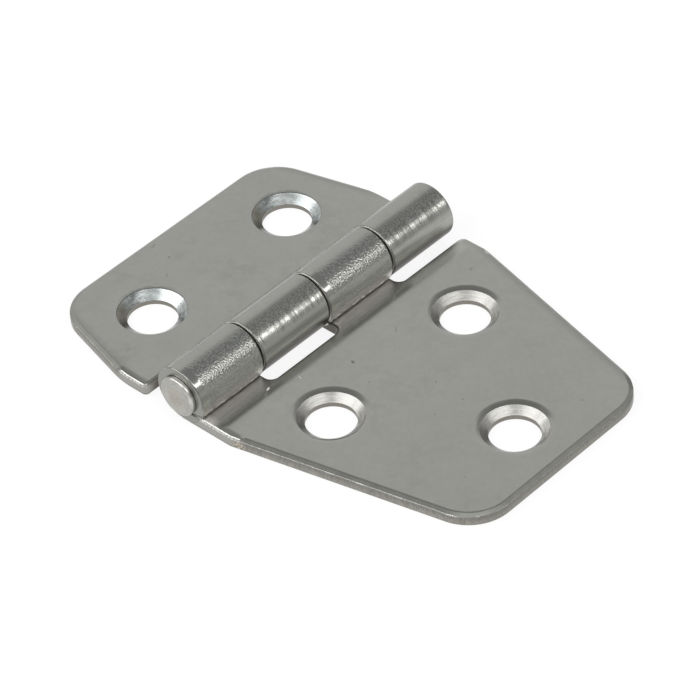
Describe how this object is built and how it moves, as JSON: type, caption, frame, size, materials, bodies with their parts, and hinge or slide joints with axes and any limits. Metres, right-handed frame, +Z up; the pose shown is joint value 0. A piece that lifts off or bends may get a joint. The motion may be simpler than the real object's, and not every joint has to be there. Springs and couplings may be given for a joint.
{
  "type": "hinge",
  "caption": "Stainless steel butt hinge with a short and a long tapered leaf, rolled knuckles, a peened pin and countersunk screw holes.",
  "frame": {"origin": "on the plane the backs of both leaves lie on, below the middle of the opened hinge's overall width and length", "axes": "+X across the pin towards the outer edge of the long leaf, +Y along the pin away from the end whose first knuckle belongs to the long leaf, +Z up from the leaf backs towards the countersunk side"},
  "size_m": [0.056, 0.0394, 0.0063],
  "materials": {
    "long_leaf": "mill finish pressed sheet",
    "short_leaf": "mill finish pressed sheet",
    "hinge_pin": "drawn rod with peened ends"
  },
  "bodies": {
    "long_leaf": {"long_leaf": "long_leaf", "hinge_pin": "hinge_pin"},
    "short_leaf": {"short_leaf": "short_leaf"}
  },
  "joints": [
    {"name": "leaf_hinge", "type": "hinge", "parent": "long_leaf", "child": "short_leaf", "pos_m": [-0.0066, 0, 0.00317], "axis": [0, 1, 0], "range_deg": [-100, 180]}
  ]
}
